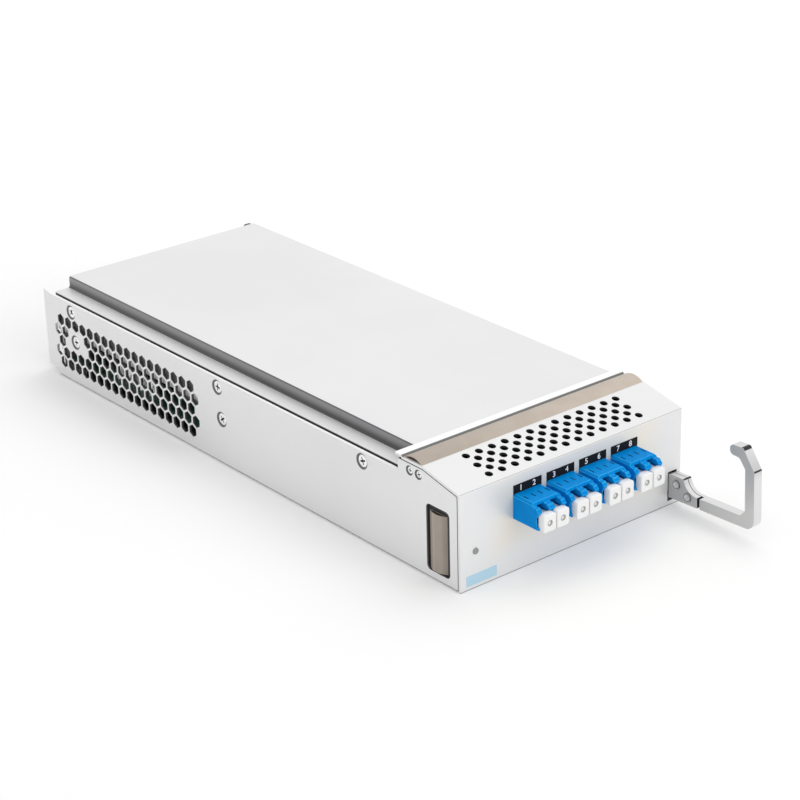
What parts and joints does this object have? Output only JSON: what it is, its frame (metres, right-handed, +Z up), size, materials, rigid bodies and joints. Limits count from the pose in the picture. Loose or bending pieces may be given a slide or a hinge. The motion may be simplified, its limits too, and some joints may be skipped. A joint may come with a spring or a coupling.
{
  "type": "optical time domain reflectometer module",
  "caption": "Long flat plug-in fibre test module with a vented sloping front, blue fibre ports under dust plugs, a hooked ejector lever and hex-vented side walls.",
  "frame": {"origin": "middle of the flat underside of the tray", "axes": "+Y towards the rear (the way the card goes into its shelf), +Z up, +X to the right seen from the front"},
  "size_m": [0.1089, 0.3138, 0.0441],
  "materials": {
    "plated_steel": "clear zinc plated sheet, satin",
    "screw_steel": "plated machine screws",
    "lever_steel": "bead-blasted stainless steel",
    "gasket_cloth": "conductive fabric over foam",
    "adapter_blue": "moulded, fine texture",
    "plug_white": "moulded, satin",
    "ceramic": "zirconia sleeve",
    "label_black": "printed film",
    "label_blue": "printed film",
    "light_pipe": "clear moulded",
    "led_body": "moulded",
    "board_green": "glass-epoxy laminate with solder mask",
    "housing_alloy": "milled, bead-blasted",
    "chip_black": "moulded epoxy",
    "sink_alloy": "black anodised",
    "spool_black": "moulded",
    "socket_grey": "glass-filled, moulded",
    "can_alloy": "drawn can with film sleeve",
    "brass_pin": "plated"
  },
  "bodies": {
    "chassis": {"chassis_tray": "plated_steel", "front_bezel": "plated_steel", "top_cover": "plated_steel", "rear_panel": "plated_steel", "side_screws": "screw_steel", "bezel_side_screws": "screw_steel", "bracket_screws": "screw_steel", "foot_flange_screws": "screw_steel", "top_emi_gasket": "gasket_cloth", "side_emi_gasket": "gasket_cloth", "alignment_sleeves": "ceramic", "port_label_strips": "label_black", "card_label": "label_blue", "adapter_clamp_plate": "plated_steel", "adapter_clamp_nuts": "screw_steel", "status_light_pipe": "light_pipe", "status_led": "led_body", "lever_bracket": "plated_steel", "lever_pivot_pin": "screw_steel", "lever_friction_washer": "screw_steel", "main_board": "board_green", "board_standoffs": "brass_pin", "board_screws": "screw_steel", "optical_engine_housing": "housing_alloy", "optical_engine_lid": "housing_alloy", "optical_engine_screws": "screw_steel", "laser_diode_barrel": "brass_pin", "photodiode_barrel": "brass_pin", "optical_switch": "housing_alloy", "fibre_spool": "spool_black", "processor_chip": "chip_black", "processor_heat_sink": "sink_alloy", "memory_chips": "chip_black", "power_converter": "chip_black", "power_capacitors": "can_alloy", "signal_connector": "socket_grey", "power_connector": "socket_grey", "guide_receptacle": "socket_grey", "rear_guide_shoe": "spool_black", "lc_adapter_1": "adapter_blue", "lc_adapter_2": "adapter_blue", "lc_adapter_3": "adapter_blue", "lc_adapter_4": "adapter_blue"},
    "lever": {"lever_handle": "lever_steel", "lever_latch_plate": "lever_steel", "lever_rivets": "screw_steel"},
    "plug_1": {"dust_plug_1": "plug_white"},
    "plug_2": {"dust_plug_2": "plug_white"},
    "plug_3": {"dust_plug_3": "plug_white"},
    "plug_4": {"dust_plug_4": "plug_white"},
    "plug_5": {"dust_plug_5": "plug_white"},
    "plug_6": {"dust_plug_6": "plug_white"},
    "plug_7": {"dust_plug_7": "plug_white"},
    "plug_8": {"dust_plug_8": "plug_white"}
  },
  "joints": [
    {"name": "lever_pivot", "type": "hinge", "parent": "chassis", "child": "lever", "pos_m": [0.0502, -0.1281, 0.0076], "axis": [1, 0, 0], "range_deg": [0, 18]},
    {"name": "plug_1_pull", "type": "slide", "parent": "chassis", "child": "plug_1", "axis": [0, -1, 0], "range_m": [0, 0.009]},
    {"name": "plug_2_pull", "type": "slide", "parent": "chassis", "child": "plug_2", "axis": [0, -1, 0], "range_m": [0, 0.009]},
    {"name": "plug_3_pull", "type": "slide", "parent": "chassis", "child": "plug_3", "axis": [0, -1, 0], "range_m": [0, 0.009]},
    {"name": "plug_4_pull", "type": "slide", "parent": "chassis", "child": "plug_4", "axis": [0, -1, 0], "range_m": [0, 0.009]},
    {"name": "plug_5_pull", "type": "slide", "parent": "chassis", "child": "plug_5", "axis": [0, -1, 0], "range_m": [0, 0.009]},
    {"name": "plug_6_pull", "type": "slide", "parent": "chassis", "child": "plug_6", "axis": [0, -1, 0], "range_m": [0, 0.009]},
    {"name": "plug_7_pull", "type": "slide", "parent": "chassis", "child": "plug_7", "axis": [0, -1, 0], "range_m": [0, 0.009]},
    {"name": "plug_8_pull", "type": "slide", "parent": "chassis", "child": "plug_8", "axis": [0, -1, 0], "range_m": [0, 0.009]}
  ]
}
